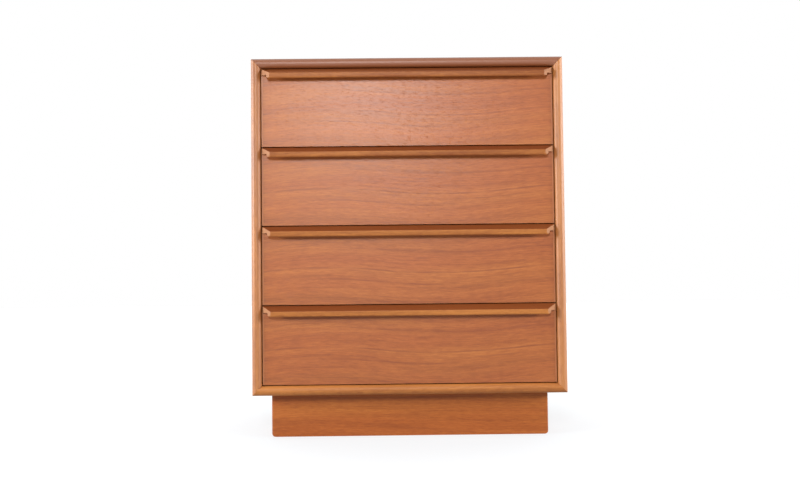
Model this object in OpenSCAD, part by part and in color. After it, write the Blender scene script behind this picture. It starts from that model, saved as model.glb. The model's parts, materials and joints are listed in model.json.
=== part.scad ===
// Tall four-drawer chest: veneered case with mitred half-round front mouldings, full-width lip
// pulls and a recessed plinth. The front faces -Y, +Z is up, and the origin is on the floor,
// under the middle of the whole chest. All sizes are in millimetres.

/* [Case] */
// Outer width of the case
case_w = 800; // [700:10:1000]
// Height of the case above the plinth
case_h = 860; // [840:10:1000]
// Depth from the crown of the front mouldings to the back edges
case_d = 450; // [420:10:520]
// Thickness of the top, bottom and side panels
panel_t = 22; // [21:1:23]
// Width of the half-round front mouldings
moulding_w = 25; // [24:1:26]
// Thickness of the back panel
back_t = 5; // [4:1:8]

/* [Drawers] */
// Gap above and below each drawer front
drawer_gap = 2.4; // [1.6:0.2:4]
// Gap at each end of a drawer front
end_gap = 2; // [1.5:0.5:4]
// Distance from the mouldings' crown back to the faces of the drawers
face_setback = 8; // [4:1:12]
// Thickness of a drawer front
front_t = 20; // [18:1:24]
// Height of the drawer sides
side_h = 160; // [140:5:165]
// Thickness of the drawer sides
side_t = 14; // [13:1:16]
// Thickness of the drawer bottoms
floor_t = 4; // [3:1:6]

/* [Pulls] */
// How far a pull stands out from its drawer's face
pull_out = 21; // [18:1:26]
// Distance that the pull's ends slant back, from its nose to the drawer's face
pull_end = 24; // [16:1:30]
// Distance from the drawer's top edge down to the pull's nose
pull_drop = 15.3; // [14:0.1:17]
// Distance from the drawer's top edge down to the tip of the pull
pull_tip = 27; // [26:0.5:30]
// Thickness of the pull where it caps the drawer front
cap_h = 17; // [15:1:18]

/* [Runners] */
// Height of a hardwood runner
runner_h = 17; // [14:1:20]
// Thickness of a hardwood runner
runner_t = 10; // [9:1:10]
// Space between a drawer's side and the case's side
side_gap = 5; // [4.5:0.5:5]

/* [Plinth] */
// Height of the plinth
plinth_h = 110; // [90:5:140]
// Distance from the case's front and sides in to the plinth
plinth_inset = 44; // [30:2:60]
// Distance from the case's back in to the plinth
plinth_back_inset = 30; // [10:5:60]
// Thickness of the plinth's boards
board_t = 20; // [18:1:24]
// Radius of the lower corners of the plinth's front board
toe_r = 10; // [4:1:20]

/* [Hidden] */
$fn = 48;
DRAWERS = 4;
SIDES = ["left", "right"];
CASE_NODES = [
    "top_panel", "bottom_panel", "left_side_panel", "right_side_panel", "back_panel",
    "corner_splines", "top_moulding", "bottom_moulding", "left_moulding", "right_moulding",
    "back_panel_screws", "runner_screws"
];
PLINTH_NODES = [
    "plinth_front", "plinth_back", "plinth_left", "plinth_right", "plinth_blocks", "plinth_screws"
];
DRAWER_NODES = ["front", "pull", "left_side", "right_side", "back", "bottom", "bottom_screws"];

TEAK = "#b0693c";
TEAK_SOLID = "#9c5628";
BEECH = "#d9b88c";
PLY = "#c9a878";
STEEL = "#a8a8a4";

through = 1;        // how far a cutter runs past the face that it opens
glue_gap = 0.1;     // space left all round inside glued joints and round screws
fit_gap = 0.3;      // space between pieces that slide or drop in

// Depths along Y, from the noses of the pulls at the front to the back edges
pull_beyond = pull_out - face_setback;
total_d = case_d + pull_beyond;
y_back = total_d / 2;
y_crown = y_back - case_d;
moulding_back = 6;      // flat stretch of a moulding behind its half-round
moulding_d = moulding_w / 2 + moulding_back;
y_edge = y_crown + moulding_d;
y_face = y_crown + face_setback;
y_box = y_face + front_t;

// Heights along Z
z_case = plinth_h;
z_top = plinth_h + case_h;
z_mid = (z_case + z_top) / 2;
opening_w = case_w - 2 * moulding_w;
opening_h = case_h - 2 * moulding_w;
inner_w = case_w - 2 * panel_t;

// Tongues that key the mouldings into the panels' front edges
tongue_t = 5;
tongue_d = 6;
tongue_x = (panel_t - tongue_t) / 2;
tongue_stop = 20;       // how far a pull's tongue stops short of the pull's ends

// Loose splines across the mitred corners of the case
spline_t = 4;
spline_w = 16;
spline_at = 13;         // distance of a spline's middle from the case's outer faces
spline_front = 6;       // wood left in front of a spline, up to the tongue's groove
spline_rear = 15;       // wood left behind a spline, up to the back panel
spline_y = [y_edge + tongue_d + spline_front, y_back - back_t - spline_rear];

// Rabbet that the back panel drops into, and the spaces between the screws down each side
rabbet_w = 10;
back_spaces = 4;

// Drawers: the front's height is shared out over the opening
front_w = opening_w - 2 * end_gap;
front_h = (opening_h - (DRAWERS + 1) * drawer_gap) / DRAWERS;
board_h = front_h - cap_h;
box_w = inner_w - 2 * side_gap;
behind_box = 21;        // space between a closed drawer and the back panel
box_d = y_back - back_t - behind_box - y_box;
side_z = 12;            // height of the sides' lower edges over the front's
floor_up = 8;           // height of the bottom's groove over the sides' lower edges
floor_z = side_z + floor_up;
floor_in = 5;           // depth of that groove
back_board_t = 12;
back_board_in = 4;      // depth of the housings that hold the back
back_board_end = 24;    // distance from the back's inner face to the sides' rear ends
back_board_y = y_box + box_d - back_board_end;

// Grooves in the drawer sides, closed in front, and the runners in them
slot_d = 6;
slot_h = runner_h + 2 * fit_gap;
slot_z = side_z + side_h / 2;
slot_start = 25;        // distance from the front board to a groove's closed end
slot_y = y_box + slot_start;
behind_runner = 26;     // space between a runner and the back panel
runner_end = y_back - back_t - behind_runner;
runner_screw_in = 40;   // distance from a runner's ends to its outer screws

// Dovetails that join the drawer sides to the fronts
tails = 6;
tail_d = 12;
tail_w = 17;
tail_neck = 13;
tail_pitch = side_h / tails;

// Screws: the straight rim of every head and the slot across it, then the sizes of each kind
// as shank radius, head radius and length
head_rim = 0.4;
head_slot_w = 1;
head_slot_d = 0.8;
BACK_SCREW = [1.75, 3.5, 20];
RUNNER_SCREW = [2, 4, 22];
FLOOR_SCREW = [1.5, 3, 16];
PLINTH_SCREW = [2.5, 5, 55];

// Plinth: the boards butt behind the front board, with a block in each corner
plinth_x = case_w / 2 - plinth_inset;
plinth_y = [y_crown + plinth_inset, y_back - plinth_back_inset];
block_w = 36;
block_h = 40;
ease_r = 5;

function drawer_z(n) = z_top - moulding_w - n * (front_h + drawer_gap);

function arc(centre, r, from, to, steps = 10) = [
    for (i = [0:steps])
        let (a = from + (to - from) * i / steps)
        [centre.x + r * cos(a), centre.y + r * sin(a)]
];

// A box given by its lowest and highest corners
module box(low, high) {
    translate(low) cube(high - low);
}

// The child and its mirror image across the middle of the chest
module both_sides() {
    for (side = [0, 1]) mirror([side, 0, 0]) children();
}

// The child on the left or, mirrored, on the right
module on_side(side) {
    mirror([side == "right" ? 1 : 0, 0, 0]) children();
}

// The child, drawn for the case's lower edge, at its upper edge too
module top_and_bottom() {
    for (upper = [0, 1])
        translate([0, 0, z_mid]) mirror([0, 0, upper]) translate([0, 0, -z_mid]) children();
}

// Countersunk wood screw with a slotted head, driven along +Z from its head's face at z = 0
module screw(size) {
    countersink = size[1] - size[0];
    difference() {
        rotate_extrude()
            polygon([
                [0, 0], [size[1], 0], [size[1], head_rim], [size[0], head_rim + countersink],
                [size[0], size[2] - 2 * size[0]], [0, size[2]]
            ]);
        translate([-size[1], -head_slot_w / 2, -through])
            cube([2 * size[1], head_slot_w, through + head_slot_d]);
    }
}

// Drilled and countersunk hole that clears the same screw
module screw_hole(size) {
    countersink = size[1] - size[0];
    translate([0, 0, -through])
        cylinder(h = through + head_rim + glue_gap, r = size[1] + glue_gap);
    translate([0, 0, head_rim + glue_gap])
        cylinder(h = countersink, r1 = size[1] + glue_gap, r2 = size[0] + glue_gap);
    cylinder(h = size[2] + glue_gap, r = size[0] + glue_gap);
}

// ---- Case ----

// The back panel's place, which is also the rabbet that is cut for it
module back_space(gap, depth) {
    x = inner_w / 2 + rabbet_w - gap;
    z = panel_t - rabbet_w + gap;
    box([-x, y_back - back_t, z_case + z], [x, y_back + depth, z_top - z]);
}

module place_back_screws() {
    x = inner_w / 2 + rabbet_w / 2;
    z = panel_t - rabbet_w / 2;
    rise = (case_h - 2 * z) / back_spaces;
    for (i = [0:back_spaces])
        both_sides() translate([x, y_back, z_case + z + i * rise]) rotate([90, 0, 0]) children();
    for (i = [-1:1])
        top_and_bottom() translate([i * inner_w / 4, y_back, z_case + z]) rotate([90, 0, 0]) children();
}

module back_panel() {
    color(PLY) difference() {
        back_space(fit_gap, 0);
        place_back_screws() screw_hole(BACK_SCREW);
    }
}

module back_panel_screws() {
    color(STEEL) place_back_screws() screw(BACK_SCREW);
}

// A spline in each mitred corner of the case; gap makes it larger, as the slots are
module splines(gap) {
    size = [spline_w + 2 * gap, spline_y[1] - spline_y[0] + 2 * gap, spline_t + 2 * gap];
    both_sides() top_and_bottom()
        translate([spline_at - case_w / 2, (spline_y[0] + spline_y[1]) / 2, z_case + spline_at])
            rotate([0, 45, 0]) cube(size, center = true);
}

module corner_splines() {
    color(PLY) splines(0);
}

// Panel with mitred ends: length along X, its outer face down at z = 0, front edge at y_edge
module mitred_panel(length) {
    groove = tongue_t + 2 * glue_gap;
    difference() {
        translate([0, y_back, 0]) rotate([90, 0, 0]) linear_extrude(y_back - y_edge)
            polygon([
                [-length / 2, 0], [length / 2, 0],
                [length / 2 - panel_t, panel_t], [panel_t - length / 2, panel_t]
            ]);
        translate([-length / 2, y_edge - through, tongue_x - glue_gap])
            cube([length, tongue_d + glue_gap + through, groove]);
    }
}

// A case panel with what every one of them has cut out of it
module case_panel() {
    color(TEAK) difference() {
        children();
        back_space(0, through);
        splines(glue_gap);
        place_back_screws() screw_hole(BACK_SCREW);
    }
}

module top_panel() {
    case_panel() translate([0, 0, z_top]) mirror([0, 0, 1]) mitred_panel(case_w);
}

module bottom_panel() {
    difference() {
        case_panel() translate([0, 0, z_case]) mitred_panel(case_w);
        place_plinth_screws() screw_hole(PLINTH_SCREW);
    }
}

module side_panel(side) {
    difference() {
        case_panel() on_side(side)
            translate([-case_w / 2, 0, z_mid]) rotate([0, 90, 0]) mitred_panel(case_h);
        on_side(side) for (n = [1:DRAWERS]) place_runner_screws(n) screw_hole(RUNNER_SCREW);
    }
}

// Section of a moulding: x runs in from the case's outer face, y back from the crown
module moulding_section() {
    r = moulding_w / 2;
    intersection() {
        translate([r, r]) circle(r);
        square([moulding_w, moulding_d]);
    }
    translate([0, r]) square([moulding_w, moulding_d - r]);
    translate([tongue_x, moulding_d - through]) square([tongue_t, tongue_d + through]);
}

// Moulding with mitred ends, standing along +Z with its outer face at x = 0
module moulding(length) {
    color(TEAK_SOLID) intersection() {
        linear_extrude(length) moulding_section();
        translate([0, moulding_d + tongue_d + through, 0]) rotate([90, 0, 0])
            linear_extrude(moulding_d + tongue_d + 2 * through)
                polygon([
                    [0, 0], [moulding_w, moulding_w],
                    [moulding_w, length - moulding_w], [0, length]
                ]);
    }
}

module top_moulding() {
    translate([-case_w / 2, y_crown, z_top]) rotate([0, 90, 0]) moulding(case_w);
}

module bottom_moulding() {
    translate([-case_w / 2, y_crown, z_case]) mirror([0, 0, 1]) rotate([0, 90, 0])
        moulding(case_w);
}

module side_moulding(side) {
    on_side(side) translate([-case_w / 2, y_crown, z_case]) moulding(case_h);
}

// ---- Runners, drawn on the left ----

module place_runner_screws(n) {
    first = slot_y + runner_screw_in;
    last = runner_end - runner_screw_in;
    for (i = [0:2])
        translate([runner_t - inner_w / 2, first + i * (last - first) / 2, drawer_z(n) + slot_z])
            rotate([0, -90, 0]) children();
}

// A bar along Y with a round front end, standing out from x = 0 towards +X
module round_end_bar(y0, y1, height, thickness) {
    r = height / 2;
    translate([0, y0 + r, 0]) rotate([0, 90, 0]) cylinder(h = thickness, r = r);
    box([0, y0 + r, -r], [thickness, y1, r]);
}

module runner(side, n) {
    color(BEECH) on_side(side) difference() {
        translate([-inner_w / 2, 0, drawer_z(n) + slot_z])
            round_end_bar(slot_y + fit_gap, runner_end, runner_h, runner_t);
        place_runner_screws(n) screw_hole(RUNNER_SCREW);
    }
}

module runner_screws() {
    color(STEEL) both_sides() for (n = [1:DRAWERS]) place_runner_screws(n) screw(RUNNER_SCREW);
}

// ---- Drawers, each drawn with its front's lower edge at z = 0 ----

// Dovetails on the front end of the left side; gap makes them larger, as the sockets are
module dovetails(gap, outer) {
    x0 = -box_w / 2 - outer;
    x1 = side_t - box_w / 2 + gap;
    for (i = [0:tails - 1])
        translate([x0, y_box, side_z + (i + 0.5) * tail_pitch])
            rotate([0, 90, 0]) linear_extrude(x1 - x0)
                polygon([
                    [-tail_neck / 2 - gap, through], [tail_neck / 2 + gap, through],
                    [tail_neck / 2 + gap, 0], [tail_w / 2 + gap, -tail_d - gap],
                    [-tail_w / 2 - gap, -tail_d - gap], [-tail_neck / 2 - gap, 0]
                ]);
}

// Space that the drawer's bottom fills, out to the ends of its grooves
module floor_space(gap) {
    x = box_w / 2 - side_t + floor_in - gap;
    box([-x, y_box - floor_in + gap, floor_z], [x, y_box + box_d - fit_gap, floor_z + floor_t]);
}

module front_board() {
    color(TEAK) difference() {
        box([-front_w / 2, y_face, 0], [front_w / 2, y_box, board_h]);
        both_sides() dovetails(glue_gap, side_gap);
        intersection() {
            floor_space(0);
            box([side_t - box_w / 2, y_face, 0], [box_w / 2 - side_t, y_box + through, board_h]);
        }
        pull_tongue(glue_gap);
    }
}

module pull_tongue(gap) {
    y = (y_face + y_box) / 2;
    length = front_w / 2 - tongue_stop + gap;
    box([-length, y - tongue_t / 2 - gap, board_h - tongue_d - gap],
        [length, y + tongue_t / 2 + gap, board_h + through]);
}

// Section of a pull: x runs out from the drawer's face, y down from the drawer's top edge
module pull_section() {
    nose_r = 3;
    tip_r = 4;
    cove_r = 3;
    tip_in = 4;
    slope = atan2(pull_drop - nose_r / 2, pull_out);
    lean = atan2(tip_in - nose_r, pull_tip - tip_r - pull_drop);
    cove_x = pull_out - tip_in - tip_r - cove_r;
    polygon(concat(
        [[-front_t, cap_h], [-front_t, 0], [0, 0]],
        arc([pull_out - nose_r, pull_drop], nose_r, slope - 90, 0, 6),
        arc([pull_out - nose_r, pull_drop], nose_r, lean / 2, lean, 1),
        arc([pull_out - tip_in, pull_tip - tip_r], tip_r, lean, 180, 8),
        arc([cove_x, cap_h + cove_r], cove_r, 0, -90, 8)
    ));
}

module pull() {
    color(TEAK_SOLID) {
        intersection() {
            translate([-front_w / 2, y_face, front_h]) rotate([0, 90, 0]) rotate([0, 0, -90])
                linear_extrude(front_w) pull_section();
            translate([0, 0, board_h - pull_tip]) linear_extrude(pull_tip + cap_h)
                polygon([
                    [-front_w / 2, y_box], [-front_w / 2, y_face],
                    [pull_end - front_w / 2, y_face - pull_out],
                    [front_w / 2 - pull_end, y_face - pull_out],
                    [front_w / 2, y_face], [front_w / 2, y_box]
                ]);
        }
        pull_tongue(0);
    }
}

module drawer_side() {
    x = box_w / 2;
    color(BEECH) difference() {
        union() {
            box([-x, y_box, side_z], [side_t - x, y_box + box_d, side_z + side_h]);
            dovetails(0, 0);
        }
        translate([-x - through, 0, slot_z])
            round_end_bar(slot_y, y_box + box_d + through, slot_h, slot_d + through);
        box([side_t - floor_in - x, y_box - floor_in, floor_z],
            [side_t + through - x, y_box + box_d + through, floor_z + floor_t]);
        back_board_space(0);
    }
}

// Space that the drawer's back fills between the sides
module back_board_space(gap) {
    x = box_w / 2 - side_t + back_board_in - gap;
    box([-x, back_board_y + gap, floor_z + floor_t],
        [x, back_board_y + back_board_t - gap, side_z + side_h + (gap > 0 ? 0 : through)]);
}

module place_floor_screws() {
    for (i = [-1:1])
        translate([i * box_w / 3, back_board_y + back_board_t / 2, floor_z]) children();
}

module drawer_back() {
    color(BEECH) difference() {
        back_board_space(glue_gap);
        place_floor_screws() screw_hole(FLOOR_SCREW);
    }
}

module drawer_bottom() {
    color(PLY) difference() {
        floor_space(fit_gap);
        place_floor_screws() screw_hole(FLOOR_SCREW);
    }
}

module drawer_piece(n, piece) {
    translate([0, 0, drawer_z(n)]) {
        if (piece == "front") front_board();
        if (piece == "pull") pull();
        if (piece == "left_side") drawer_side();
        if (piece == "right_side") mirror([1, 0, 0]) drawer_side();
        if (piece == "back") drawer_back();
        if (piece == "bottom") drawer_bottom();
        if (piece == "bottom_screws") color(STEEL) place_floor_screws() screw(FLOOR_SCREW);
    }
}

// ---- Plinth ----

module plinth_front() {
    depth = board_t;
    color(TEAK) translate([0, plinth_y[0], 0]) intersection() {
        translate([0, depth, 0]) rotate([90, 0, 0]) linear_extrude(depth)
            polygon(concat(
                arc([toe_r - plinth_x, toe_r], toe_r, 180, 270),
                arc([plinth_x - toe_r, toe_r], toe_r, 270, 360),
                [[plinth_x, plinth_h], [-plinth_x, plinth_h]]
            ));
        linear_extrude(plinth_h)
            polygon(concat(
                arc([ease_r - plinth_x, ease_r], ease_r, 180, 270),
                arc([plinth_x - ease_r, ease_r], ease_r, 270, 360),
                [[plinth_x, depth], [-plinth_x, depth]]
            ));
    }
}

module plinth_side(side) {
    color(TEAK) on_side(side)
        box([-plinth_x, plinth_y[0] + board_t, 0], [board_t - plinth_x, plinth_y[1], plinth_h]);
}

module plinth_back() {
    x = plinth_x - board_t;
    color(TEAK) box([-x, plinth_y[1] - board_t, 0], [x, plinth_y[1], plinth_h]);
}

// The blocks' lower corners nearest the middle of the chest, on the left
function block_rows() = [plinth_y[0] + board_t, plinth_y[1] - board_t - block_w];

module place_plinth_screws() {
    for (y = block_rows())
        both_sides()
            translate([board_t + block_w / 2 - plinth_x, y + block_w / 2, plinth_h - block_h])
                children();
}

module plinth_blocks() {
    x = board_t - plinth_x;
    color(BEECH) difference() {
        for (y = block_rows())
            both_sides() box([x, y, plinth_h - block_h], [x + block_w, y + block_w, plinth_h]);
        place_plinth_screws() screw_hole(PLINTH_SCREW);
    }
}

module plinth_screws() {
    color(STEEL) place_plinth_screws() screw(PLINTH_SCREW);
}

top_panel();
bottom_panel();
side_panel("left");  // left_side_panel
side_panel("right");  // right_side_panel
back_panel();
corner_splines();
top_moulding();
bottom_moulding();
side_moulding("left");  // left_moulding
side_moulding("right");  // right_moulding
back_panel_screws();
runner_screws();
plinth_front();
plinth_back();
plinth_side("left");  // plinth_left
plinth_side("right");  // plinth_right
plinth_blocks();
plinth_screws();
for (side = SIDES, n = [1:DRAWERS])
    runner(side, n);
for (n = [1:DRAWERS], piece = DRAWER_NODES)
    drawer_piece(n, piece);
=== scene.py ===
import json
import math
from collections import namedtuple

import bmesh
import bpy
from mathutils import Matrix, Vector

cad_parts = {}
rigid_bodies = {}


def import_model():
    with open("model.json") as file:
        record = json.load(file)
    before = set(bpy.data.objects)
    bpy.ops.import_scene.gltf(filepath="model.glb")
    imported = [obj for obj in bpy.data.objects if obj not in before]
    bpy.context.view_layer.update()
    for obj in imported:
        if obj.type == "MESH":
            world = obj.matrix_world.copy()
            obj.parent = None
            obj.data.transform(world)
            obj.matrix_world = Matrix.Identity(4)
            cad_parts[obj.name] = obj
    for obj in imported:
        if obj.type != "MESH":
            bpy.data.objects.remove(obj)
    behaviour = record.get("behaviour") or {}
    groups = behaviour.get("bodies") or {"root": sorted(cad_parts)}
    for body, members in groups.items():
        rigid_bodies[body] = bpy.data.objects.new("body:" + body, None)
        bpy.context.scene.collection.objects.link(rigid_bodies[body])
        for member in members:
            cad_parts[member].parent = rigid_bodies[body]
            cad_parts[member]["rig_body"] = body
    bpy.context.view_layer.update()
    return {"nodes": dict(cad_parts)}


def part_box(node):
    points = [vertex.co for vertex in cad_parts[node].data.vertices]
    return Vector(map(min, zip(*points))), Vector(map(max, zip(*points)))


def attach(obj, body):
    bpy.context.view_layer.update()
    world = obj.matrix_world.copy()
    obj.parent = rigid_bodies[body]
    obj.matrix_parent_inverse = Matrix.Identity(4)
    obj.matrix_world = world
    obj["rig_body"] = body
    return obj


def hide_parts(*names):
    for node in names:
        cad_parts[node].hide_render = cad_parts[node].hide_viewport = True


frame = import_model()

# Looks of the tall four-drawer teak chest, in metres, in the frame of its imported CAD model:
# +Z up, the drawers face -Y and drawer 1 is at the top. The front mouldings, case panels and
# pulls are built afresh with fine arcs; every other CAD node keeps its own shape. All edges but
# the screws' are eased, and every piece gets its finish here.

MM = 0.001
DRAWERS = range(1, 5)
AXES = {"X": 0, "Y": 1, "Z": 2}
nodes = frame["nodes"]

# ---- Sizes, read from the frame ----

panel_low, panel_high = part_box("left_side_panel")
crown_low, crown_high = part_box("left_moulding")
case_w = -2 * panel_low.x
case_z = (panel_low.z, panel_high.z)
case_h = case_z[1] - case_z[0]
panel_t = panel_high.x - panel_low.x
moulding_w = crown_high.x - crown_low.x
crown_y = crown_low.y       # front of the mouldings
edge_y = panel_low.y        # front edges of the panels, where the mouldings begin
back_y = panel_high.y


# ---- Camera, level with the third drawer, tipped and rolled a little as it was held ----

CAMERA_X, CAMERA_Z = -0.0353, 0.4103
CAMERA_DISTANCE = 2.0                   # from the mouldings
CAMERA_LENS, SENSOR_WIDTH = 35.5, 36    # in millimetres
CAMERA_PITCH, CAMERA_YAW, CAMERA_ROLL = 0.03150, -0.00659, 0.01068

camera = bpy.data.objects.new("camera", bpy.data.cameras.new("camera"))
bpy.context.scene.collection.objects.link(camera)
camera.data.lens = CAMERA_LENS
camera.data.sensor_width = SENSOR_WIDTH
camera.matrix_world = (
    Matrix.Translation((CAMERA_X, crown_y - CAMERA_DISTANCE, CAMERA_Z))
    @ Matrix.Rotation(CAMERA_YAW, 4, "Z")
    @ Matrix.Rotation(math.pi / 2 + CAMERA_PITCH, 4, "X")
    @ Matrix.Rotation(-CAMERA_ROLL, 4, "Z")
)
bpy.context.scene.camera = camera


# ---- Meshes ----

SHARP = math.radians(30)        # edges that turn more than this are sharp, and are eased
EASE_SEGMENTS = 2
WELD_GAP = 0.01 * MM


def arc(centre, radius, start, end, steps):
    """Points on an arc, with angles in degrees."""
    angles = [math.radians(start + (end - start) * i / steps) for i in range(steps + 1)]
    return [(centre[0] + radius * math.cos(a), centre[1] + radius * math.sin(a)) for a in angles]


def ease_edges(piece, width):
    """Rounds every sharp edge of a piece by a small radius."""
    bevel = piece.modifiers.new("eased edges", "BEVEL")
    bevel.width = width
    bevel.segments = EASE_SEGMENTS
    bevel.limit_method = "ANGLE"
    bevel.angle_limit = SHARP
    bevel.harden_normals = True


def make_piece(name, points, faces, node, ease):
    """A new piece that stands for a CAD node and moves with that node's body."""
    mesh = bpy.data.meshes.new(name)
    mesh.from_pydata(points, [], faces)
    shape = bmesh.new()
    shape.from_mesh(mesh)
    bmesh.ops.recalc_face_normals(shape, faces=shape.faces)
    for face in shape.faces:
        face.smooth = True
    shape.to_mesh(mesh)
    shape.free()
    mesh.set_sharp_from_angle(angle=SHARP)
    piece = bpy.data.objects.new(name, mesh)
    bpy.context.scene.collection.objects.link(piece)
    ease_edges(piece, ease)
    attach(piece, nodes[node]["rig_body"])
    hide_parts(node)
    return piece


# ---- Case: mouldings and panels, mitred at the corners ----

MOULDING_STEPS = 36
MOULDING_EASE, PANEL_EASE = 0.35 * MM, 0.7 * MM
RABBET_W = 10 * MM              # width of the rabbet that takes the back panel
left_x, right_x = -case_w / 2, case_w / 2

# For each side, its length, and where a point of its section is: p in from the case's outside,
# q its y in the CAD frame, and s the distance along the side
PLACES = {
    "left": (case_h, lambda p, q, s: (left_x + p, q, case_z[0] + s)),
    "right": (case_h, lambda p, q, s: (right_x - p, q, case_z[0] + s)),
    "bottom": (case_w, lambda p, q, s: (left_x + s, q, case_z[0] + p)),
    "top": (case_w, lambda p, q, s: (left_x + s, q, case_z[1] - p)),
}


def moulding_section():
    """Half-round front with a short flat stretch behind it."""
    r = moulding_w / 2
    return arc((r, crown_y + r), r, 180, 360, MOULDING_STEPS) + [(moulding_w, edge_y), (0, edge_y)]


def panel_section():
    """Case panel with the rabbet for the back panel."""
    rabbet_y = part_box("back_panel")[0].y
    rabbet_p = panel_t - RABBET_W
    return [
        (0, edge_y), (panel_t, edge_y), (panel_t, rabbet_y), (rabbet_p, rabbet_y),
        (rabbet_p, back_y), (0, back_y),
    ]


def frame_bar(name, section, side, node, ease):
    """One side of the case, with mitred ends."""
    length, place = PLACES[side]
    count = len(section)
    points = [place(p, q, p) for p, q in section] + [place(p, q, length - p) for p, q in section]
    faces = [(i, (i + 1) % count, count + (i + 1) % count, count + i) for i in range(count)]
    faces += [tuple(range(count)), tuple(range(count, 2 * count))]
    return make_piece(name, points, faces, node, ease)


def panel_name(side):
    return f"{side}_side_panel" if side in ("left", "right") else f"{side}_panel"


pieces = {}
for side in PLACES:
    moulding, panel = f"{side}_moulding", panel_name(side)
    pieces[moulding] = frame_bar(
        f"{side}_front_moulding", moulding_section(), side, moulding, MOULDING_EASE)
    pieces[panel] = frame_bar(f"veneered_{panel}", panel_section(), side, panel, PANEL_EASE)


# ---- Pulls ----

PULL_OUT = 21 * MM      # how far the nose stands out from the drawer's face
PULL_DROP = 15.3 * MM   # from the drawer's top edge down to the nose
PULL_CAP = 17 * MM      # height of the pull where it covers the front board's top edge
PULL_TIP = 27 * MM      # from the drawer's top edge down to the tip of the lip
TIP_IN = 4 * MM         # from the nose's front back to the middle of the lip
NOSE_R, TIP_R, COVE_R = 3 * MM, 4 * MM, 3 * MM
NOSE_STEPS, TIP_STEPS, COVE_STEPS = 14, 12, 12
END_CUT = 24 / 21       # how far the pull's ends are cut back for how far they stand out
CORNER_R = 4 * MM       # rounds off the lip's lower corners at its ends
CORNER_STEPS = 5
PULL_EASE = 0.4 * MM


def pull_section():
    """Outline of a pull: x runs out from the drawer's face, y down from its top edge."""
    slope = math.degrees(math.atan2(PULL_DROP - NOSE_R / 2, PULL_OUT))
    lean = math.degrees(math.atan2(TIP_IN - NOSE_R, PULL_TIP - TIP_R - PULL_DROP))
    cove_x = PULL_OUT - TIP_IN - TIP_R - COVE_R
    return (
        [(0, 0)]
        + arc((PULL_OUT - NOSE_R, PULL_DROP), NOSE_R, slope - 90, lean, NOSE_STEPS)
        + arc((PULL_OUT - TIP_IN, PULL_TIP - TIP_R), TIP_R, lean, 180, TIP_STEPS)
        + arc((cove_x, PULL_CAP + COVE_R), COVE_R, 0, -90, COVE_STEPS)
        + [(0, PULL_CAP)]
    )


def pull_rings():
    """Where the pull's section stands, from left to right: which end, how far in from it, and how
    far the lip is lifted there."""
    turns = [math.radians(90 * i / CORNER_STEPS) for i in range(CORNER_STEPS + 1)]
    corner = [(CORNER_R * (1 - math.cos(t)), CORNER_R * (1 - math.sin(t))) for t in turns]
    left = [(-1, inset, lift) for inset, lift in corner]
    return left + [(1, inset, lift) for inset, lift in reversed(corner)]


def pull_points(n, section, rings):
    """The section's points at each ring, then the pull's four corners at the board's back."""
    end_x, top_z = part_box(f"drawer_{n}_pull")[1].xz
    face_low, face_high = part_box(f"drawer_{n}_front")
    points = []
    for end, inset, lift in rings:
        for out, down in section:
            share = max(0.0, (down - PULL_CAP) / (PULL_TIP - PULL_CAP))
            x = end * (end_x - END_CUT * out - inset)
            points.append((x, face_low.y - out, top_z - down + lift * share))
    for end in (-1, 1):
        for down in (0, PULL_CAP):
            points.append((end * end_x, face_high.y, top_z - down))
    return points


def pull_faces(count, rings):
    """Faces of a pull whose section has so many points at each of so many rings."""
    last = count * rings
    left_top, left_under, right_top, right_under = range(last, last + 4)
    faces = [
        (i, i + 1, count + i + 1, count + i)
        for ring in range(rings - 1)
        for i in range(ring * count, ring * count + count - 1)
    ]
    return faces + [
        tuple(range(count)),
        tuple(range(last - count, last)),
        (*range(0, last, count), right_top, left_top),
        (*range(count - 1, last, count), right_under, left_under),
        (left_top, left_under, right_under, right_top),
        (0, count - 1, left_under, left_top),
        (last - count, last - 1, right_under, right_top),
    ]


def make_pull(n):
    """Pull whose ends slant back in plan, and whose lip is rounded off at its lower corners."""
    section, rings = pull_section(), pull_rings()
    points, faces = pull_points(n, section, rings), pull_faces(len(section), len(rings))
    return make_piece(f"lip_pull_{n}", points, faces, f"drawer_{n}_pull", PULL_EASE)


for n in DRAWERS:
    pieces[f"drawer_{n}_pull"] = make_pull(n)


# ---- CAD nodes that keep their shape ----

DRAWER_EASE = {
    "front": 0.5 * MM, "left_side": 0.25 * MM, "right_side": 0.25 * MM, "back": 0.3 * MM,
    "bottom": 0.2 * MM,
}
PLINTH_FRONT_EASE, OTHER_EASE = 1.2 * MM, 0.6 * MM


def ease_of(name):
    """Radius of a CAD node's eased edges, by its name."""
    if name.startswith("drawer"):
        return DRAWER_EASE[name.split("_", 2)[2]]
    return PLINTH_FRONT_EASE if name == "plinth_front" else OTHER_EASE


for name, node in nodes.items():
    if name in pieces:
        continue
    pieces[name] = node
    if not name.endswith("screws"):
        weld = node.modifiers.new("joined faces", "WELD")
        weld.merge_threshold = WELD_GAP
        ease_edges(node, ease_of(name))


# ---- Shader nodes ----

BUMP_STRENGTH = 0.6
MIX_A, MIX_B, MIX_RESULT = 6, 7, 2      # colour sockets of the Mix node


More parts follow.
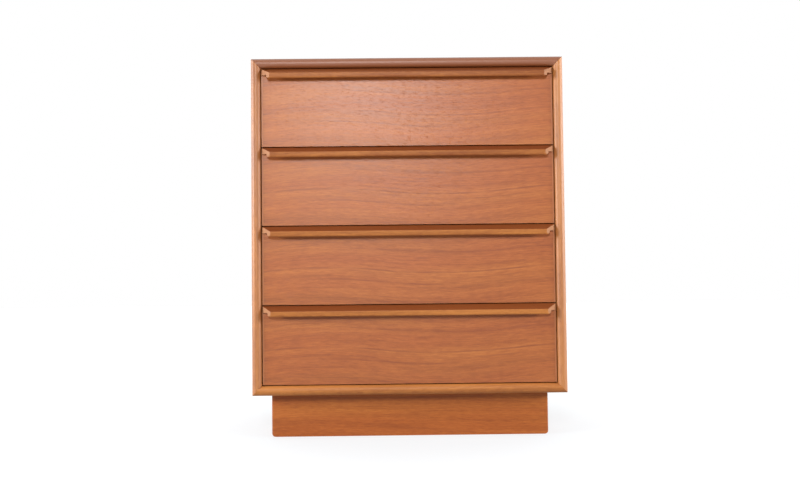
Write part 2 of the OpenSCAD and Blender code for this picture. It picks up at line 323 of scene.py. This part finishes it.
class Graph:
    """Nodes of a material or a world. Its methods take sockets or plain values."""

    def __init__(self, tree):
        self.tree = tree

    def put(self, socket, value):
        """Links a socket to the value, or sets it where the value is a plain one."""
        if isinstance(value, bpy.types.NodeSocket):
            self.tree.links.new(value, socket)
        else:
            socket.default_value = value

    def make(self, kind, *values, **settings):
        """A node with its settings, and the values in its first inputs."""
        node = self.tree.nodes.new(kind)
        for key, value in settings.items():
            setattr(node, key, value)
        for socket, value in zip(node.inputs, values):
            self.put(socket, value)
        return node

    def math(self, operation, *values):
        return self.make("ShaderNodeMath", *values, operation=operation).outputs[0]

    def add(self, *values):
        total = values[0]
        for value in values[1:]:
            total = self.math("ADD", total, value)
        return total

    def scale(self, value, factor):
        return self.math("MULTIPLY", value, factor)

    def scaled(self, values, factors):
        return [self.scale(value, factor) for value, factor in zip(values, factors)]

    def centred(self, noise):
        """Noise that swings round 0 and not round 0.5."""
        return self.math("SUBTRACT", noise, 0.5)

    def length(self, a, b):
        return self.math("SQRT", self.add(self.scale(a, a), self.scale(b, b)))

    def noise(self, vector, detail, roughness):
        node = self.make("ShaderNodeTexNoise")
        point = self.make("ShaderNodeCombineXYZ", *vector).outputs[0]
        self.put(node.inputs["Vector"], point)
        node.inputs["Scale"].default_value = 1
        node.inputs["Detail"].default_value = detail
        node.inputs["Roughness"].default_value = roughness
        return node.outputs[0]

    def step(self, value, low, high, to_low=0.0, to_high=1.0):
        """Goes smoothly from to_low to to_high as the value goes from low to high."""
        node = self.make(
            "ShaderNodeMapRange", value, low, high, to_low, to_high,
            interpolation_type="SMOOTHSTEP")
        return node.outputs[0]

    def ramp(self, value, stops):
        node = self.make("ShaderNodeValToRGB", value)
        elements = node.color_ramp.elements
        while len(elements) < len(stops):
            elements.new(0.5)
        for element, (place, colour) in zip(elements, stops):
            element.position = place
            element.color = (*colour, 1)
        return node.outputs[0]

    def mix(self, factor, a, b, blend="MIX"):
        node = self.make("ShaderNodeMix", data_type="RGBA", blend_type=blend)
        self.put(node.inputs[0], factor)
        for socket, value in ((node.inputs[MIX_A], a), (node.inputs[MIX_B], b)):
            self.put(socket, (*value, 1) if isinstance(value, tuple) else value)
        return node.outputs[MIX_RESULT]

    def parts(self, coordinate):
        """The x, y and z of one of the Texture Coordinate node's outputs."""
        whole = self.make("ShaderNodeTexCoord").outputs[coordinate]
        return self.make("ShaderNodeSeparateXYZ", whole).outputs

    def place(self):
        """The point on the piece, in metres in the CAD frame, as x, y and z."""
        return self.parts("Object")

    def cloud(self, waves, detail, roughness):
        """Even noise in the piece, with so many waves a metre."""
        return self.noise([self.scale(a, waves) for a in self.place()], detail, roughness)

    def facing(self, axis):
        """How squarely the surface faces along an axis, from 0 to 1."""
        return self.math("ABSOLUTE", self.parts("Normal")[AXES[axis]])

    def upward(self):
        """How squarely the surface faces up, from -1 to 1."""
        return self.parts("Normal")[AXES["Z"]]


class Finish(Graph):
    """Nodes of one material, with its settings on the surface shader's own sockets."""

    def __init__(self, name, **settings):
        self.material = bpy.data.materials.new(name)
        self.material.use_nodes = True
        super().__init__(self.material.node_tree)
        self.surface = self.tree.nodes["Principled BSDF"]
        for socket, value in settings.items():
            self.surface.inputs[socket.replace("_", " ")].default_value = value

    def finish(self, colour, roughness, height, depth):
        """Links the surface, with height in parts of depth, which is in metres."""
        self.put(self.surface.inputs["Base Color"], colour)
        self.put(self.surface.inputs["Roughness"], roughness)
        bump = self.make("ShaderNodeBump")
        bump.inputs["Strength"].default_value = BUMP_STRENGTH
        bump.inputs["Distance"].default_value = depth
        self.put(bump.inputs["Height"], height)
        self.put(self.surface.inputs["Normal"], bump.outputs[0])
        return self.material


# ---- Wood: colours are linear, and the stops of a ramp run from dark to light ----

TEAK = [
    (0.15, (0.285, 0.072, 0.012)), (0.5, (0.415, 0.115, 0.018)), (0.85, (0.525, 0.169, 0.029)),
]
TEAK_VEIN = (0.225, 0.049, 0.010)
TEAK_WARM = (0.96, 0.84, 0.92)      # tint of the redder bands
SOLID = [
    (0.15, (0.250, 0.068, 0.014)), (0.5, (0.500, 0.178, 0.038)), (0.85, (0.620, 0.255, 0.064)),
]
LIP_WOOD = [(0.3, (0.400, 0.122, 0.036)), (0.7, (0.500, 0.170, 0.052))]
# Painted shade: the dark colour that the pulls' faces which point up turn towards
TOP_SHADE_COLOUR = (0.160, 0.029, 0.003)
END_GRAIN = (0.440, 0.205, 0.100)
BEECH = [
    (0.2, (0.520, 0.330, 0.180)), (0.5, (0.610, 0.410, 0.240)), (0.8, (0.690, 0.490, 0.310)),
]
BEECH_END = (0.470, 0.300, 0.170)
PLY = [
    (0.2, (0.400, 0.250, 0.130)), (0.5, (0.500, 0.330, 0.180)), (0.8, (0.590, 0.410, 0.240)),
]
CHIP = [
    (0.3, (0.230, 0.150, 0.085)), (0.5, (0.430, 0.310, 0.190)), (0.7, (0.560, 0.430, 0.280)),
]
ZINC = [(0.3, (0.36, 0.35, 0.32)), (0.7, (0.62, 0.60, 0.55))]

# Layers of a wood's figure: waves a metre along and across the grain, what is added to the
# wood's seed, and the noise's detail and roughness
Layer = namedtuple("Layer", "along across seed detail roughness")
TONE = Layer(0.8, 24, 0, 3, 0.6)
STREAK = Layer(4.5, 170, 3, 4, 0.65)
FIBRE = Layer(42, 420, 5, 3, 0.65)
SPECK = Layer(70, 2100, 7, 1, 0.5)
DRIFT = Layer(1.6, 3.0, 11, 2, 0.5)
VEIN_LEVEL = Layer(0.7, 26, 13, 1, 0.4)
VEIN_BREAK = Layer(2.5, 40, 17, 2, 0.5)
VEIN_PATCH = Layer(14, 90, 0, 2, 0.5)
HUE = Layer(1.3, 14, 19, 2, 0.55)
LIPPING_GRAIN = Layer(300, 12, 0, 3, 0.6)
END_DOTS = Layer(1500, 1500, 0, 1, 0.5)

# From and to what value a pattern turns from one look to another
PORE_STEP, HUE_STEP, BREAK_STEP, PATCH_STEP = (0.6, 0.7), (0.35, 0.65), (0.3, 0.7), (0.3, 0.62)
# The third step on the next line is over how squarely a face points up, where painted shade falls
END_STEP, DOT_STEP, TOP_SHADE_STEP, EDGE_STEP = (0.5, 0.7), (0.6, 0.75), (0.35, 0.75), (0.4, 0.6)

# Weights of tone, streak and fibre in a wood's shade, and of fibre, streak and pores in its
# relief, where plywood has no streaks
VENEER_SHADE, SOLID_SHADE, PLY_SHADE = (0.95, 0.7, 1.0), (0.8, 0.5, 0.4), (0.8, 0.7, 0.4)
VENEER_RELIEF, SOLID_RELIEF, PLY_RELIEF = (0.3, 0.2, -0.8), (0.4, 0.2, -0.7), (0.5, -0.5)
VENEER_ROUGH, SOLID_ROUGH, PLY_ROUGH, CHIP_ROUGH = 0.31, 0.47, 0.62, 0.85
UNEVEN_ROUGH = 0.12         # how much rougher pores, fibres and streaks are
END_ROUGH, PLY_TONE_ROUGH = 0.14, 0.1   # how much rougher end grain and plywood's tone bands are
RED_BANDS = 0.75            # strength of TEAK_WARM at most
VENEER_PORES, SOLID_PORES = 0.45, 0.3
PANEL_DEPTH, FRONT_DEPTH, SOLID_DEPTH, PLY_DEPTH = 0.15 * MM, 0.16 * MM, 0.15 * MM, 0.2 * MM
PANEL_SWAY, FRONT_SWAY, SOLID_SWAY, PLY_SWAY = 0.05, 0.03, 0.03, 0.08


def third_axis(along, across):
    return next(axis for axis in AXES if axis not in (along, across))


def board_axes(graph, node, along, across):
    """Distances along and across the grain and through the board, from the board's centre."""
    low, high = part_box(node)
    centre, point = (low + high) / 2, graph.place()
    return [
        graph.math("SUBTRACT", point[AXES[axis]], centre[AXES[axis]])
        for axis in (along, across, third_axis(along, across))
    ]


def layer(graph, u, ring, kind, seed):
    """One layer of the figure, which runs along u and changes quickly with ring."""
    point = (graph.scale(u, kind.along), graph.scale(ring, kind.across), seed + kind.seed)
    return graph.noise(point, kind.detail, kind.roughness)


def grain(graph, u, ring, seed):
    """Tone bands, streaks, fibres and pores."""
    tone, streak, fibre, speck = [
        layer(graph, u, ring, kind, seed) for kind in (TONE, STREAK, FIBRE, SPECK)]
    return tone, streak, fibre, graph.step(speck, *PORE_STEP)


def sway(graph, u, v, seed, size):
    """Slow drift of the grain across the board, in metres."""
    return graph.scale(graph.centred(layer(graph, u, v, DRIFT, seed)), size)


def shade_of(graph, tone, streak, fibre, weights):
    """Place on a wood's ramp, with 0.5 as its middle."""
    layers = [graph.centred(value) for value in (tone, streak, fibre)]
    return graph.add(0.5, *graph.scaled(layers, weights))


# ---- Teak veneer ----

VENEER_SHEEN, VENEER_BLUR, SOLID_BLUR = 0.04, 0.24, 0.5
PANEL_GLOSS, FRONT_GLOSS = 0.35, 0.71
PANEL_VEINS, FRONT_DARK = 0.4, 0.7      # strength of the dark lines of panels and fronts
VEIN_WIDTH = 0.022                      # how near VEIN_LEVEL's middle a panel's lines end


def satin(name, gloss, sheen=VENEER_SHEEN, blur=VENEER_BLUR):
    """A satin finish: a thin coat over the wood, with a sheen that more blur makes broader."""
    return Finish(name, Coat_Weight=sheen, Coat_Roughness=blur, Specular_IOR_Level=gloss)


def veneer_colour(graph, u, ring, seed, vein, vein_depth, tone_shift=0.0):
    """Colour, roughness and relief of teak veneer with dark lines."""
    tone, streak, fibre, pores = grain(graph, u, ring, seed)
    shade = graph.add(shade_of(graph, tone, streak, fibre, VENEER_SHADE), tone_shift)
    colour = graph.ramp(shade, TEAK)
    hue = graph.step(layer(graph, u, ring, HUE, seed), *HUE_STEP, 0.0, RED_BANDS)
    colour = graph.mix(hue, colour, TEAK_WARM, "MULTIPLY")
    colour = graph.mix(graph.scale(vein, vein_depth), colour, TEAK_VEIN)
    colour = graph.mix(graph.scale(pores, VENEER_PORES), colour, TEAK_VEIN)
    height = graph.add(*graph.scaled((fibre, streak, pores), VENEER_RELIEF))
    rough = graph.add(VENEER_ROUGH, *graph.scaled((pores, fibre, streak), 3 * [UNEVEN_ROUGH]))
    return colour, rough, height


def level_veins(graph, u, ring, seed):
    """Thin dark lines where a slow pattern crosses its middle level, as growth rings do."""
    near = graph.math("ABSOLUTE", graph.centred(layer(graph, u, ring, VEIN_LEVEL, seed)))
    line = graph.step(near, 0.0, VEIN_WIDTH, 1.0, 0.0)
    broken = graph.step(layer(graph, u, ring, VEIN_BREAK, seed), *BREAK_STEP)
    return graph.scale(line, broken)


def teak_panel(name, node, along, across, seed, tone_shift=0.0):
    """Lacquered teak veneer with a quiet straight figure."""
    graph = satin(name, PANEL_GLOSS)
    u, v, _ = board_axes(graph, node, along, across)
    ring = graph.add(v, sway(graph, u, v, seed, PANEL_SWAY))
    vein = level_veins(graph, u, ring, seed)
    colour, rough, height = veneer_colour(graph, u, ring, seed, vein, PANEL_VEINS, tone_shift)
    return graph.finish(colour, rough, height, PANEL_DEPTH)


# Dark lines of the drawer fronts: height, start and end, all in mm from the front's middle, and
# strength
FRONT_VEINS = [
    (45, -150, 400, 0.7), (-5, -400, -170, 0.9), (-5, -130, 400, 1.0), (-12, -160, 0, 0.6),
    (-20, 100, 330, 0.6), (-33, -200, 110, 0.8), (-54, -300, -60, 0.4), (66, -330, -120, 0.35),
]
FADE_IN, FADE_OUT = (-70, 50), (-60, 40)        # round a line's start and its end, in mm
LINE_CORE, LINE_EDGE = 0.3 * MM, 3.4 * MM       # from a line's middle to where it fades and ends
PATCH_LEAST = 0.25                              # strength of a line where it is patchy
WOBBLE_WAVES, WOBBLE_SIZE, WOBBLE_SEED = 9, 5 * MM, 3.0
WAVE_HEIGHT, WAVE_LENGTH, WAVE_CREST = 9.5 * MM, 0.62, -0.203      # the grain's long wave
LIPPING, LIPPING_BLUR = 4 * MM, 0.3 * MM        # solid edging on the ends of the drawer fronts
SWAY_SEED, GRAIN_SEED = 4.0, 2.0
WAVE_LEAF, SWAY_LEAF, GRAIN_LEAF = 0.004, 0.05, 0.12    # changes from one leaf to the next


def front_veins(graph, u, ring, leaf):
    """The lines in FRONT_VEINS, which follow the wave of the grain."""
    total = 0.0
    for i, (height, start, end, strength) in enumerate(FRONT_VEINS):
        wobble = graph.noise((graph.scale(u, WOBBLE_WAVES), leaf, WOBBLE_SEED * i), 2, 0.5)
        away = graph.add(ring, -height * MM, graph.scale(graph.centred(wobble), WOBBLE_SIZE))
        line = graph.step(graph.math("ABSOLUTE", away), LINE_CORE, LINE_EDGE, strength, 0.0)
        fade_in = graph.step(u, *((start + shift) * MM for shift in FADE_IN))
        fade_out = graph.step(u, *((end + shift) * MM for shift in FADE_OUT), 1.0, 0.0)
        line = graph.scale(line, graph.scale(fade_in, fade_out))
        total = graph.math("MAXIMUM", total, line)
    patchy = graph.step(layer(graph, u, ring, VEIN_PATCH, leaf), *PATCH_STEP, PATCH_LEAST, 1.0)
    return graph.scale(total, patchy)


def front_rings(graph, u, v, leaf):
    """Height over the front's middle, bent by the grain's long wave and its sway."""
    phase = graph.add(u, -WAVE_CREST + WAVE_LEAF * leaf)
    wave = graph.math("COSINE", graph.scale(phase, 2 * math.pi / WAVE_LENGTH))
    drift = sway(graph, u, v, SWAY_SEED + SWAY_LEAF * leaf, FRONT_SWAY)
    return graph.add(v, graph.scale(wave, -WAVE_HEIGHT), drift)


def teak_front(name, node, leaf):
    """Drawer front: leaves cut one after another from one log, so each has nearly one figure."""
    graph = satin(name, FRONT_GLOSS)
    u, v, _ = board_axes(graph, node, "X", "Z")
    ring = front_rings(graph, u, v, leaf)
    vein = front_veins(graph, u, ring, leaf)
    colour, rough, height = veneer_colour(
        graph, u, ring, GRAIN_SEED + GRAIN_LEAF * leaf, vein, FRONT_DARK)
    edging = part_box(node)[1].x - LIPPING
    lipping = graph.step(graph.math("ABSOLUTE", u), edging - LIPPING_BLUR, edging)
    plain = graph.ramp(layer(graph, u, v, LIPPING_GRAIN, leaf), LIP_WOOD)
    colour = graph.mix(lipping, colour, plain)
    return graph.finish(colour, rough, height, FRONT_DEPTH)


# ---- Solid wood ----

# A timber's shades, its end grain, and how far off its pith lies across and through the board
Timber = namedtuple("Timber", "stops end pith")
SOLID_TEAK = Timber(SOLID, END_GRAIN, (0.05, 0.09))
SOLID_BEECH = Timber(BEECH, BEECH_END, (0.16, 0.22))
END_STRENGTH, END_DOT_STRENGTH = 0.9, 0.6


def end_grain(graph, timber, v, w, seed):
    """End grain: the cut ends of the wood's pores as dark dots."""
    dots = graph.step(layer(graph, v, w, END_DOTS, seed), *DOT_STEP, 0.0, END_DOT_STRENGTH)
    return graph.mix(dots, timber.end, timber.stops[0][1])


def with_painted_top_shade(graph, colour, end, grime):
    """A colour darkened where the surface faces up, as painted shade, but not on end grain."""
    top_shade_mask = graph.step(graph.upward(), *TOP_SHADE_STEP)
    top_shade_mask = graph.scale(top_shade_mask, graph.step(end, 0, 1, grime, 0.0))
    return graph.mix(top_shade_mask, colour, TOP_SHADE_COLOUR)


def solid_wood(graph, timber, node, along, across, seed, tone_shift=0.0, grime=0.0):
    """Solid timber whose growth rings run round a pith that lies outside the piece."""
    u, v, w = board_axes(graph, node, along, across)
    dv = graph.add(v, timber.pith[0], sway(graph, u, v, seed, SOLID_SWAY))
    dw = graph.add(w, timber.pith[1])
    ring = graph.length(dv, dw)
    tone, streak, fibre, pores = grain(graph, u, ring, seed)
    shade = graph.add(shade_of(graph, tone, streak, fibre, SOLID_SHADE), tone_shift)
    colour = graph.ramp(shade, timber.stops)
    end = graph.step(graph.facing(along), *END_STEP)
    ends = end_grain(graph, timber, v, w, seed)
    colour = graph.mix(graph.scale(end, END_STRENGTH), colour, ends)
    # Painted shade on faces that point up
    if grime:
        colour = with_painted_top_shade(graph, colour, end, grime)
    colour = graph.mix(graph.scale(pores, SOLID_PORES), colour, timber.stops[0][1])
    height = graph.add(*graph.scaled((fibre, streak, pores), SOLID_RELIEF))
    rough = graph.add(SOLID_ROUGH, *graph.scaled((pores, end), (UNEVEN_ROUGH, END_ROUGH)))
    return graph.finish(colour, rough, height, SOLID_DEPTH)


def solid_teak(name, node, along, across, seed, look):
    """Solid teak with a tone, sheen and gloss, and painted shade where it faces up."""
    graph = satin(name, look.gloss, look.sheen, SOLID_BLUR)
    return solid_wood(graph, SOLID_TEAK, node, along, across, seed, look.tone, look.grime)


def solid_beech(name, node, along, across, seed):
    return solid_wood(Finish(name), SOLID_BEECH, node, along, across, seed)


# ---- Plywood, chipboard and zinc ----

PLY_T = 1.4 * MM                        # one ply
PLY_START = 1.0                         # m, keeps the count of plies above zero
PLY_STRIPE = (0.5 * MM, 0.9 * MM)       # where a ply turns to the next, darker one
PLY_STRIPE_STRENGTH = 0.6
CHIP_WAVES, CHIP_PARTS, CHIP_DEPTH = (320, 900), (0.7, 0.3), 0.5 * MM
ZINC_WAVES, ZINC_DEPTH = 700, 0.05 * MM
ZINC_GLOSS = (0.2, 0.8, 0.3, 0.5)       # from and to how cloudy, and how rough at either


def plywood(name, node, along, across, seed):
    """Thin plywood: a plain face, and its plies as stripes on the edges."""
    graph = Finish(name)
    u, v, w = board_axes(graph, node, along, across)
    ring = graph.add(v, sway(graph, u, v, seed, PLY_SWAY))
    tone, streak, fibre, pores = grain(graph, u, ring, seed)
    colour = graph.ramp(shade_of(graph, tone, streak, fibre, PLY_SHADE), PLY)
    ply = graph.math("PINGPONG", graph.add(w, PLY_START), PLY_T)
    stripes = graph.scale(graph.step(ply, *PLY_STRIPE), PLY_STRIPE_STRENGTH)
    edge = graph.step(graph.facing(third_axis(along, across)), *EDGE_STEP, 1.0, 0.0)
    colour = graph.mix(graph.scale(edge, stripes), colour, PLY[0][1])
    height = graph.add(*graph.scaled((fibre, pores), PLY_RELIEF))
    rough = graph.add(PLY_ROUGH, graph.scale(tone, PLY_TONE_ROUGH))
    return graph.finish(colour, rough, height, PLY_DEPTH)


def chipboard(name):
    """Raw chipboard, as the back edges of the veneered panels show."""
    graph = Finish(name)
    coarse, fine = graph.cloud(CHIP_WAVES[0], 3, 0.7), graph.cloud(CHIP_WAVES[1], 2, 0.6)
    colour = graph.ramp(graph.add(*graph.scaled((coarse, fine), CHIP_PARTS)), CHIP)
    return graph.finish(colour, CHIP_ROUGH, coarse, CHIP_DEPTH)


def zinc(name):
    """Zinc-plated steel, a little cloudy."""
    graph = Finish(name, Metallic=1.0)
    cloud = graph.cloud(ZINC_WAVES, 3, 0.6)
    rough = graph.step(cloud, *ZINC_GLOSS)
    return graph.finish(graph.ramp(cloud, ZINC), rough, cloud, ZINC_DEPTH)


# ---- Which piece is made of what ----

# Tone shifts a wood along its ramp, sheen is the coat's weight, gloss the specular level and
# the last field the strength of the painted shade on faces that point up
Look = namedtuple("Look", "tone sheen gloss grime")
MOULDING_LOOKS = {
    "left": Look(-0.1, 0.6, 0.6, 0.0),
    "right": Look(0.0, 0.7, 0.6, 0.0),
    # The top moulding's dark tone is partly its own darker wood and partly painted shade
    "top": Look(-0.65, 0.8, 0.7, 0.0),
    "bottom": Look(-0.03, 0.1, 0.35, 0.0),
}
# Each pull's tone darkens its wood, and darkens it more the higher the pull sits, as painted
# shade; pull 1 gets less painted shade on its up-facing faces
PULL_LOOKS = {
    1: Look(-0.27, 0.05, 0.3, 0.6),
    2: Look(-0.22, 0.05, 0.3, 0.85),
    3: Look(-0.14, 0.05, 0.3, 0.85),
    4: Look(-0.08, 0.05, 0.3, 0.85),
}
# Painted shade darkens the upright panels and painted light lightens the level ones
PANEL_PAINTED_SHADING = {"Z": -0.09, "X": 0.08}       # of upright and level panels
FACES_BACK = 0.9                            # least normal.y of a face on a panel's back edge

# First seed of each kind of piece
SEEDS = {
    "moulding": 21.0, "panel": 36.0, "pull": 41.0, "side": 60.0, "back": 75.0, "bottom": 85.0,
    "runner": 95.0, "plinth_front": 101.0, "plinth_back": 102.0, "plinth_side": 103.0,
    "block": 107.0, "back_panel": 111.0, "spline": 113.0,
}


def dress(name, material):
    """Gives a piece one material."""
    piece = pieces[name]
    piece.data.materials.clear()
    piece.data.materials.append(material)


def dress_case():
    for i, (side, look) in enumerate(MOULDING_LOOKS.items()):
        along, across = ("Z", "X") if side in ("left", "right") else ("X", "Z")
        moulding, panel = f"{side}_moulding", panel_name(side)
        wood = solid_teak(
            f"teak_{moulding}", moulding, along, across, SEEDS["moulding"] + i, look)
        dress(moulding, wood)
        veneer = teak_panel(
            f"veneer_{panel}", panel, along, "Y", SEEDS["panel"] + i, PANEL_PAINTED_SHADING[along])
        dress(panel, veneer)


def dress_drawer(n):
    front, pull = f"drawer_{n}_front", f"drawer_{n}_pull"
    back, bottom = f"drawer_{n}_back", f"drawer_{n}_bottom"
    dress(front, teak_front(f"veneer_front_{n}", front, float(n)))
    pull_wood = solid_teak(f"teak_pull_{n}", pull, "X", "Z", SEEDS["pull"] + 3 * n, PULL_LOOKS[n])
    dress(pull, pull_wood)
    for j, side in enumerate(("left", "right")):
        name, seed = f"drawer_{n}_{side}_side", SEEDS["side"] + 2 * n + j
        dress(name, solid_beech(f"beech_side_{n}_{side}", name, "Y", "Z", seed))
    dress(back, solid_beech(f"beech_back_{n}", back, "X", "Z", SEEDS["back"] + n))
    dress(bottom, plywood(f"ply_bottom_{n}", bottom, "X", "Y", SEEDS["bottom"] + n))


def dress_runners():
    beech = solid_beech("beech_runner", "left_runner_1", "Y", "Z", SEEDS["runner"])
    for n in DRAWERS:
        for side in ("left", "right"):
            dress(f"{side}_runner_{n}", beech)


def dress_plinth():
    for side, along in (("front", "X"), ("back", "X"), ("left", "Y"), ("right", "Y")):
        name = f"plinth_{side}"
        seed = SEEDS[name] if along == "X" else SEEDS["plinth_side"]
        dress(name, teak_panel(f"veneer_{name}", name, along, "Z", seed))
    blocks = solid_beech("beech_blocks", "plinth_blocks", "Z", "X", SEEDS["block"])
    dress("plinth_blocks", blocks)


def dress_plywood_parts():
    back = plywood("ply_back", "back_panel", "Z", "X", SEEDS["back_panel"])
    dress("back_panel", back)
    splines = plywood("ply_splines", "corner_splines", "Y", "X", SEEDS["spline"])
    dress("corner_splines", splines)


def dress_screws():
    steel = zinc("zinc_screws")
    for name in pieces:
        if name.endswith("screws"):
            dress(name, steel)


def show_core():
    """Shows the case panels' chipboard core on their back edges."""
    core = chipboard("chipboard_core")
    for side in PLACES:
        mesh = pieces[panel_name(side)].data
        mesh.materials.append(core)
        for face in mesh.polygons:
            if face.normal.y > FACES_BACK:
                face.material_index = 1


dress_case()
for n in DRAWERS:
    dress_drawer(n)
dress_runners()
dress_plinth()
dress_plywood_parts()
dress_screws()
show_core()


# ---- Floor ----

FLOOR_REACH = 9.0                       # from the middle of the floor to its edges
FLOOR_DROP = 0.5 * MM                   # keeps it clear of the plinth's underside
FLOOR_COLOUR = (0.18, 0.19, 0.20, 1)
FLOOR_LIGHT = (0.975, 0.99, 1, 1)
FLOOR_ROUGH = 0.9
FLOOR_GLOW = 0.38
SEEN_GLOW = (0.3, 1.2, 0.36, 0.62)      # from and to how far from the middle, and extra glow there


def white_floor():
    """Matt white paper that glows a little, and more where it is seen directly."""
    graph = Finish("white_floor", Roughness=FLOOR_ROUGH, Emission_Color=FLOOR_LIGHT)
    graph.put(graph.surface.inputs["Base Color"], FLOOR_COLOUR)
    x, y, _ = graph.place()
    seen = graph.make("ShaderNodeLightPath").outputs["Is Camera Ray"]
    glow = graph.scale(seen, graph.step(graph.length(x, y), *SEEN_GLOW))
    graph.put(graph.surface.inputs["Emission Strength"], graph.add(glow, FLOOR_GLOW))
    return graph.material


def make_floor():
    mesh = bpy.data.meshes.new("floor")
    signs = ((-1, -1), (1, -1), (1, 1), (-1, 1))
    mesh.from_pydata([(x * FLOOR_REACH, y * FLOOR_REACH, 0) for x, y in signs], [], [(0, 1, 2, 3)])
    mesh.materials.append(white_floor())
    floor = bpy.data.objects.new("floor", mesh)
    bpy.context.scene.collection.objects.link(floor)
    floor.location.z = -FLOOR_DROP


make_floor()


# ---- Light ----

CHEST_MIDDLE = (0, 0, 0.5)
LAMPS = {       # place, width and height in metres, power in watts
    "key": ((-0.25, -3.2, 1.70), (0.5, 0.75), 53),
    "left_side": ((-3.2, -1.27, 1.15), (0.8, 0.8), 84),
    "right_side": ((3.2, -1.27, 1.15), (0.8, 0.8), 71),
}


def soft_light(name, place, size, power):
    """A rectangular lamp that faces the chest's middle."""
    lamp = bpy.data.lights.new(name, "AREA")
    lamp.shape = "RECTANGLE"
    lamp.size, lamp.size_y = size
    lamp.energy = power
    light = bpy.data.objects.new(name, lamp)
    bpy.context.scene.collection.objects.link(light)
    light.location = place
    aim = Vector(CHEST_MIDDLE) - Vector(place)
    light.rotation_euler = aim.to_track_quat("-Z", "Y").to_euler()


for name, (place, size, power) in LAMPS.items():
    soft_light(name, place, size, power)

# The room's brightness by direction, y from the camera's side (-1) to behind the chest (1) and
# z from below (-1) to overhead (1): from and to what y or z, and how bright at either
WALLS = (-0.55, 0.0, 0.04, 1.15)        # over y
CEILING = (0.15, 0.6, 1.0, 0.08)        # over z, the share of the walls' light
BAND_FOOT = (0.08, 0.16, 0.0, 1.0)      # over z, a bright band above the horizon
BAND_HEAD = (0.34, 0.46, 1.0, 0.0)      # over z
BAND_LIGHT = (-0.25, 0.0, 0.0, 1.5)     # over y
OVERHEAD = (0.7, 0.92, 0.0, 1.1)        # over z


def room_light(graph):
    """White walls to the sides and behind the chest with a brighter band above the horizon, a
    dark ceiling with a bright patch overhead, and a dark room behind the camera."""
    _, y, z = graph.parts("Generated")
    walls = graph.scale(graph.step(z, *CEILING), graph.step(y, *WALLS))
    band = graph.scale(graph.step(z, *BAND_FOOT), graph.step(z, *BAND_HEAD))
    band = graph.scale(band, graph.step(y, *BAND_LIGHT))
    return graph.add(walls, band, graph.step(z, *OVERHEAD))


def studio_world():
    """A room that lights the chest, but is plain white where the camera sees it."""
    world = bpy.data.worlds.new("studio")
    bpy.context.scene.world = world
    world.use_nodes = True
    world.node_tree.nodes.clear()
    graph = Graph(world.node_tree)
    white = (1, 1, 1, 1)
    lit = graph.make("ShaderNodeBackground", white, room_light(graph)).outputs[0]
    seen = graph.make("ShaderNodeBackground", white).outputs[0]
    by_camera = graph.make("ShaderNodeLightPath").outputs["Is Camera Ray"]
    choice = graph.make("ShaderNodeMixShader", by_camera, lit, seen).outputs[0]
    graph.make("ShaderNodeOutputWorld", choice)


studio_world()
bpy.context.scene.view_settings.view_transform = "Standard"
